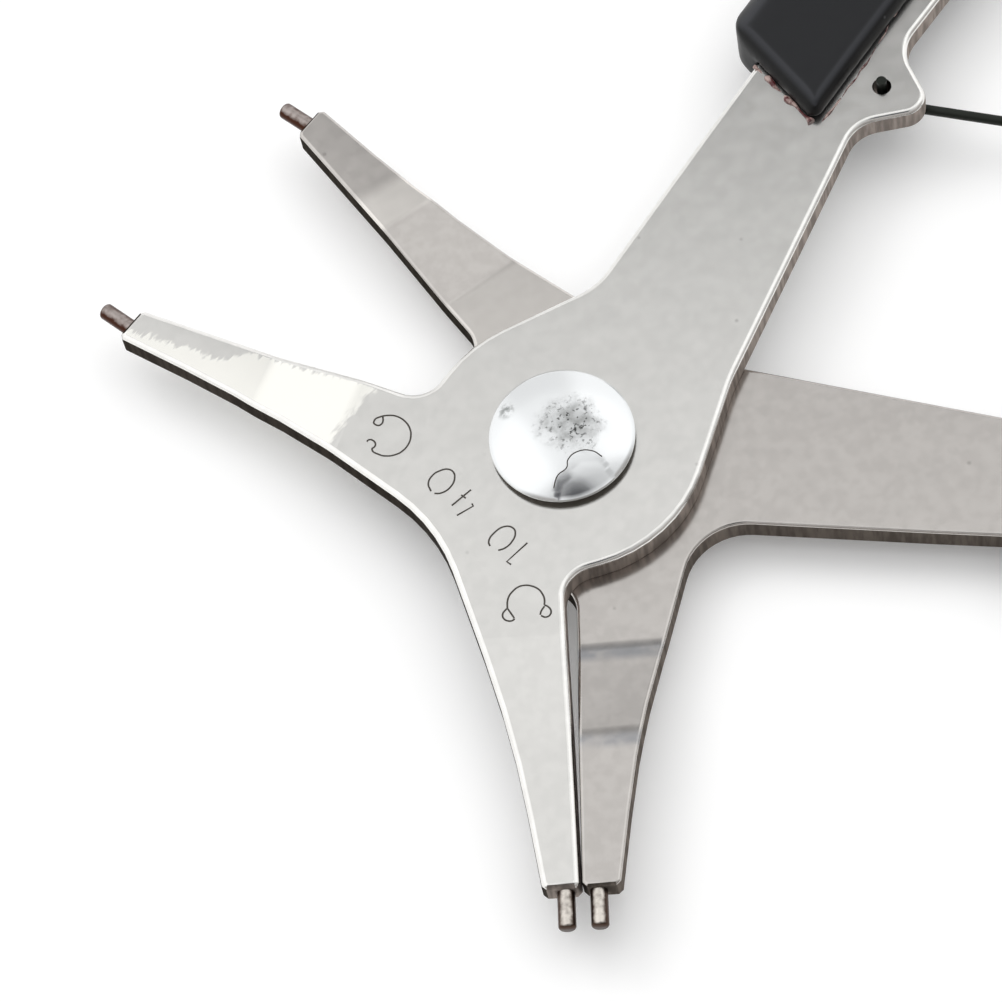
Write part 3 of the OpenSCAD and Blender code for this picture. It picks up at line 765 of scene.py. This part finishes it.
# Line along which the plating of the head has cracked, with the depth of the face beyond it and the width of
# its slope, in millimetres
CRACK = (
    (-2.83, -4.52), (-2.06, -3.79), (-1.09, -3.56), (-0.7, -3.03), (0.3, -2.74), (1.53, -3.2),
    (2.05, -3.93),
)
CRACK_R = 0.06
FLAKE_DEPTH = 0.05
FLAKE_SLOPE = 0.9

# Reach of the dents round the struck patch, and the depth of those and of the dome's waves, in millimetres
DENT_REACH = 3.2
DENT_DEPTH = 0.012


def flaked(point):
    """How far a point of the dome lies beyond the crack, from 0 to 1."""
    x, y = point[0], point[1]
    for (x0, y0), (x1, y1) in zip(CRACK, CRACK[1:]):
        if x0 <= x < x1:
            edge = y0 + (y1 - y0) * (x - x0) / (x1 - x0)
            return min(1.0, max(0.0, (edge - y) / FLAKE_SLOPE))
    return 0.0


def struck(point):
    """Rise of the hammered dome over a smooth one at a point, in millimetres."""
    middle = PATCH_AT / MM
    away = math.hypot(point[0] - middle.x, point[1] - middle.y)
    fade = max(0.0, 1 - (away / DENT_REACH) ** 2)
    rough = noise.fractal(Vector(point) * 1.6, 0.7, 2.0, 3)
    wide = noise.noise(Vector(point) * 0.4)
    return DENT_DEPTH * (fade * rough + wide) - FLAKE_DEPTH * flaked(point)


def rivet():
    """Peened rivet turned about the Z axis, with a hammered top."""
    shape = bmesh.new()
    turns = 144
    rings = []
    for radius, height in rivet_profile():
        ring = []
        for k in range(turns):
            a = 2 * math.pi * k / turns
            point = [radius * math.cos(a), radius * math.sin(a), height]
            if height > HEAD_FOOT + HEAD_RIM + 0.05:
                point[2] += struck(point)
            ring.append(shape.verts.new(Vector(point) * MM))
        rings.append(ring)
    for low, high in zip(rings, rings[1:]):
        for k in range(turns):
            shape.faces.new((low[k], low[(k + 1) % turns], high[(k + 1) % turns], high[k]))
    shape.faces.new(list(reversed(rings[0])))
    shape.faces.new(rings[-1])
    bmesh.ops.recalc_face_normals(shape, faces=shape.faces)
    for face in shape.faces:
        level = face.calc_center_median().z / MM
        # The shank and the underside of the head take the painted shade
        face.material_index = 1 if REAR_PLATE[0] < level < HEAD_FOOT + HEAD_GAP - 0.05 else 0
    name = "pivot_rivet_peened"
    return show(name, mesh_of(name, shape, (rivet_finish, under_head_painted_shade)))


peened = rivet()
crack = [(x, y, dome_height(math.hypot(x, y)) + 0.02) for x, y in CRACK]
cut(peened, tube_mesh("crack", crack, [CRACK_R] * len(crack), groove_finish, 8, True))
peened.data.set_sharp_from_angle(angle=SHARP)
place_on(peened, "rear_lever", "rivet_steel", "pivot_rivet")


# Bevel round a pin's free end, in millimetres
PIN_BEVEL = 0.15


def pin(mount):
    """Turned tip pin, from its seat in the jaw's end to its bevelled free end."""
    middle = Vector(mount["pos_m"]) / MM
    axis = Vector(mount["axis"])
    half = mount["dims"]["length_mm"] / 2
    radius = mount["dims"]["r_mm"]
    steps = (
        (-half, radius),
        (-half + 0.2, radius),
        (half - 0.1, radius),
        (half, radius - 0.02),
        (half + 0.6 * PIN_BEVEL, radius - 0.08),
        (half + PIN_BEVEL, radius - PIN_BEVEL),
    )
    path = [middle + axis * place for place, _ in steps]
    name = mount["name"] + "_turned"
    finish = brown_pin_finish if "internal" in name else bright_pin_finish
    return show(name, tube_mesh(name, path, [r for _, r in steps], finish, 40))


for mount in pin_mounts:
    turned = pin(mount)
    turned.data.set_sharp_from_angle(angle=math.radians(50))
    place_on(turned, mount["name"].split("_")[0] + "_lever", "pin_steel", mount["name"])


# Grips: size of the faces that carry the moulding's soft edges, and how often they are evened out
MOULD_FACE = 0.26
MOULD_ROUNDS = 14


def grip(node):
    """Moulded channel grip with softened edges."""
    name = node + "_moulding"
    made = show(name, mesh_of(name, cad_shape(node), (grip_finish,)))
    faces = made.modifiers.new("even faces", "REMESH")
    faces.mode = "VOXEL"
    faces.voxel_size = MOULD_FACE * MM
    faces.use_smooth_shade = True
    soft = made.modifiers.new("soft edges", "SMOOTH")
    soft.factor = 0.5
    soft.iterations = MOULD_ROUNDS
    settled(made)
    made.data.materials.clear()
    made.data.materials.append(grip_finish)
    return made


place_on(grip("front_grip"), "front_lever", "grip_plastic", "front_grip")
place_on(grip("rear_grip"), "rear_lever", "grip_plastic", "rear_grip")

# Beads of adhesive at the foot of the front grip, in millimetres: along its mouth and along the bare strip,
# how far a bead strays from its line, and the seed that makes it stray in the same way in each run
MOUTH_FOOT = ((30.95, 25.6), (32.75, 17.75))
STRIP_FOOT = ((33.6, 17.6), (38.6, 20.4), (41.7, 22.5), (45.6, 25.4))
BEAD_STRAY = 0.2
BEAD_SEED = 7


def bead(name, foot, spacing, thin, thick):
    """Uneven bead of adhesive along a line on the front plate."""
    path = []
    for start, end in zip(foot, foot[1:]):
        run = Vector(end) - Vector(start)
        steps = round(run.length / spacing)
        path += [Vector(start).lerp(Vector(end), i / steps) for i in range(steps)]
    path = [Vector((p.x, p.y, FRONT_PLATE[1])) for p in path]
    radii = [thin + (thick - thin) * max(0.0, 2.2 * noise.noise(p * 1.1)) for p in path]
    path = [p + BEAD_STRAY * noise.noise_vector(p * 0.9) for p in path]
    made = show(name, tube_mesh(name, path, radii, glue_finish, 10))
    return place_on(made, "front_lever", "grip_plastic")


noise.seed_set(BEAD_SEED)
bead("mouth_adhesive", MOUTH_FOOT, 0.2, 0.12, 0.3)
bead("strip_adhesive", STRIP_FOOT, 0.3, 0.04, 0.09)


# Return spring, in millimetres: hooks in the ears, straight legs and one coil
COIL = Vector((57.0, 0.0))
COIL_R = 3.5
WIRE_R = 0.45
HOOK_R = 0.8
HOOK_TOP = 7.85
LEG_LEVEL = 4.05
COIL_PITCH = 0.95

# Points along the bend of a hook, a leg and half of the coil
HOOK_STEPS = 8
LEG_STEPS = 12
COIL_STEPS = 40


def spring_half():
    """Centre line from the hook in the front ear to the middle of the coil."""
    reach = COIL - EAR
    heading = math.atan2(reach.y, reach.x) + math.asin(COIL_R / reach.length)
    ahead = Vector((math.cos(heading), math.sin(heading)))
    points = [Vector((*EAR, HOOK_TOP)), Vector((*EAR, LEG_LEVEL + HOOK_R + 0.2))]
    for i in range(HOOK_STEPS + 1):
        a = math.radians(90 * i / HOOK_STEPS)
        spot = EAR + ahead * HOOK_R * (1 - math.cos(a))
        points.append(Vector((*spot, LEG_LEVEL + HOOK_R * (1 - math.sin(a)))))
    sweep = math.radians(270) + heading
    start_level = STACK_MIDDLE - COIL_PITCH * sweep / (2 * math.pi)
    tangent = COIL + Vector((-math.sin(heading), math.cos(heading))) * COIL_R
    hooked = points[-1]
    coil_start = Vector((*tangent, start_level))
    points += [hooked.lerp(coil_start, i / LEG_STEPS) for i in range(1, LEG_STEPS)]
    for i in range(COIL_STEPS + 1):
        a = heading - sweep * i / COIL_STEPS
        spot = COIL + Vector((-math.sin(a), math.cos(a))) * COIL_R
        level = start_level + (STACK_MIDDLE - start_level) * i / COIL_STEPS
        points.append(Vector((*spot, level)))
    return points


front_half = spring_half()
rear_half = [Vector((p.x, -p.y, 2 * STACK_MIDDLE - p.z)) for p in reversed(front_half[:-1])]
wire_path = front_half + rear_half
spring = show(
    "return_spring_wire",
    tube_mesh("return_spring_wire", wire_path, [WIRE_R] * len(wire_path), wire_finish, 16),
)
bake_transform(spring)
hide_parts("return_spring")


# Camera: where it stands, in millimetres, and how it is turned
CAMERA_AT = (-43.19, -174.28, 346.45)
CAMERA_HEADING = math.radians(78.13)
CAMERA_PITCH = math.radians(62.71)
CAMERA_ROLL = math.radians(14.5)
CAMERA_LENS = 161.68

camera_data = bpy.data.cameras.new("camera")
camera_data.lens = CAMERA_LENS
camera_data.sensor_width = 36.0
camera_data.clip_start = 0.01
camera_data.dof.use_dof = False
camera = bpy.data.objects.new("camera", camera_data)
bpy.context.scene.collection.objects.link(camera)
flat_share = math.cos(CAMERA_PITCH)
sight = Vector(
    (
        flat_share * math.cos(CAMERA_HEADING),
        flat_share * math.sin(CAMERA_HEADING),
        -math.sin(CAMERA_PITCH),
    )
)
camera.location = Vector(CAMERA_AT) * MM
camera.rotation_mode = "QUATERNION"
camera.rotation_quaternion = sight.to_track_quat("-Z", "Y") @ Quaternion((0, 0, 1), -CAMERA_ROLL)
bpy.context.scene.camera = camera


# Half of the table's width, in metres, and its gap under the object, in millimetres
TABLE_HALF = 3.0
TABLE_GAP = 0.05


def table():
    """White table under the object."""
    shape = bmesh.new()
    bmesh.ops.create_grid(shape, x_segments=1, y_segments=1, size=TABLE_HALF)
    mesh = bpy.data.meshes.new("table")
    shape.to_mesh(mesh)
    shape.free()
    mesh.materials.append(white_board("matt_white_board"))
    made = show("table", mesh)
    made.location.z = -TABLE_GAP * MM


table()


def lamp(name, heading, pitch, distance, width, height, radiance):
    """Soft oblong lamp that faces the object from a direction given in degrees."""
    data = bpy.data.lights.new(name, "AREA")
    data.shape = "RECTANGLE"
    data.size = width
    data.size_y = height
    data.energy = radiance * math.pi * width * height
    made = bpy.data.objects.new(name, data)
    bpy.context.scene.collection.objects.link(made)
    a = math.radians(heading)
    b = math.radians(pitch)
    spot = Vector((math.cos(b) * math.cos(a), math.cos(b) * math.sin(a), math.sin(b)))
    made.location = spot * distance
    made.rotation_euler = spot.to_track_quat("Z", "Y").to_euler()
    made.visible_glossy = False


lamp("window", heading=113, pitch=40, distance=1.0, width=0.5, height=0.52, radiance=2.4)


# Side of the room from which most light comes
BRIGHT_SIDE = (0.57, 0.82, 0.0)

BACKGROUND = "ShaderNodeBackground"
MIX_SHADERS = "ShaderNodeMixShader"


def room():
    """Pale room lit from its ceiling and far wall, which lights matt surfaces and is mirrored in metal."""
    world = bpy.data.worlds.new("room")
    bpy.context.scene.world = world
    world.use_nodes = True
    tree = world.node_tree
    tree.nodes.clear()
    way = add(tree, "ShaderNodeTexCoord").outputs["Generated"]
    across, ahead, rise = add(tree, SPLIT, [way]).outputs

    # Light for matt surfaces: stronger from the ceiling and the bright side
    side = add(tree, VECTOR, [way, BRIGHT_SIDE], operation="DOT_PRODUCT")
    side = add(tree, RANGE, [side, -0.6, 0.6, 0.45, 1.55], **SOFT)
    ceiling = add(tree, RANGE, [rise, 0.35, 0.85, 0.2, 1.35], **SOFT)
    ceiling = add(tree, MATH, [ceiling, side], operation="MULTIPLY")
    lit = add(tree, BACKGROUND, {"Color": WHITE, "Strength": ceiling})

    # Room in the metal: brighter flanks, a dark cornice on one side and a dimmer near side
    level = add(tree, RANGE, [rise, 0.42, 0.6, 0.88, 1.0], **SOFT)
    flank = add(tree, MATH, [across, 0.1], operation="SUBTRACT")
    flank = add(tree, MATH, [flank], operation="ABSOLUTE")
    flank = add(tree, RANGE, [flank, 0.2, 0.38, 0.0, 0.22], **SOFT)
    level = add(tree, MATH, [level, flank], operation="ADD")
    cornice = add(tree, RANGE, [rise, 0.775, 0.795], **SOFT)
    for limits in ((rise, 0.845, 0.868, 0.92, 0.0), (ahead, 0.15, 0.35), (across, -0.05, 0.2)):
        share = add(tree, RANGE, limits, **SOFT)
        cornice = add(tree, MATH, [cornice, share], operation="MULTIPLY")
    level = add(tree, MATH, [level, cornice], operation="SUBTRACT")
    dim = add(tree, RANGE, [ahead, -0.32, -0.08, 0.62, 1.0], **SOFT)
    level = add(tree, MATH, [level, dim], operation="MULTIPLY")
    near = add(tree, RANGE, [ahead, -0.5, -0.2, 1.0, 0.0], **SOFT)
    below = add(tree, RANGE, [rise, 0.55, 0.8, 1.0, 0.0], **SOFT)
    near = add(tree, MATH, [near, below], operation="MULTIPLY")
    colour = add(tree, MIX, {0: near, 6: WHITE, 7: linear("#CFCBC8")}, **COLOURS)

    # Dark spot on the side from which the picture is taken
    spot = add(tree, VECTOR, [way, tuple(-sight)], operation="DOT_PRODUCT")
    spot = add(tree, RANGE, [spot, 0.958, 0.99], **SOFT)
    colour = add(tree, MIX, {0: spot, 6: colour, 7: linear("#34343C")}, **COLOURS)
    mirrored = add(tree, BACKGROUND, {"Color": colour, "Strength": level})

    plain = add(tree, BACKGROUND, {"Color": WHITE, "Strength": 1.0})
    path = add(tree, "ShaderNodeLightPath").outputs
    shiny = add(tree, MATH, [path["Is Glossy Ray"], path["Is Transmission Ray"]], operation="MAXIMUM")
    unseen = add(tree, MIX_SHADERS, [shiny, lit, mirrored])
    whole = add(tree, MIX_SHADERS, [path["Is Camera Ray"], unseen, plain])
    add(tree, "ShaderNodeOutputWorld", [whole])


room()
bpy.context.scene.view_settings.view_transform = "Standard"
